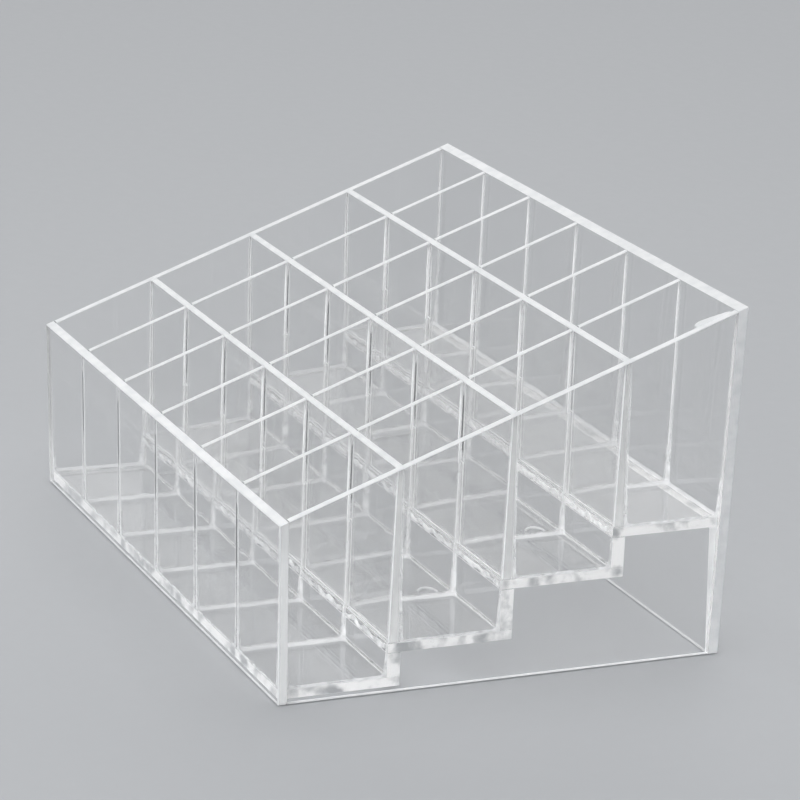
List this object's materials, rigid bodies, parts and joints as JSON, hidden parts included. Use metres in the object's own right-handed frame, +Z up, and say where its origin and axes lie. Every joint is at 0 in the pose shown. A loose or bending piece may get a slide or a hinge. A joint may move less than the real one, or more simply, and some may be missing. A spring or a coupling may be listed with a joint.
{
  "type": "vanity organizer",
  "caption": "Clear stepped cosmetics organizer with a sloping grid of open-topped cells for lipsticks, low at the front and high at the back.",
  "frame": {"origin": "middle of the box around the object, on the ground", "axes": "+X across the front towards the right, +Y from front to back, +Z up"},
  "size_m": [0.145, 0.0942, 0.0705],
  "materials": {
    "clear_wall": "clear, polished faces with bright edges",
    "clear_step": "clear, polished faces with cloudy bonded edges",
    "clear_divider": "clear, polished faces with bright edges"
  },
  "bodies": {
    "root": {"front_wall": "clear_wall", "back_wall": "clear_wall", "left_side_panel": "clear_wall", "right_side_panel": "clear_wall", "step_floor_1": "clear_step", "step_floor_2": "clear_step", "step_floor_3": "clear_step", "step_floor_4": "clear_step", "step_riser_1": "clear_step", "step_riser_2": "clear_step", "step_riser_3": "clear_step", "row_divider_1": "clear_divider", "row_divider_2": "clear_divider", "row_divider_3": "clear_divider", "column_divider_1": "clear_divider", "column_divider_2": "clear_divider", "column_divider_3": "clear_divider", "column_divider_4": "clear_divider", "column_divider_5": "clear_divider"}
  },
  "joints": []
}
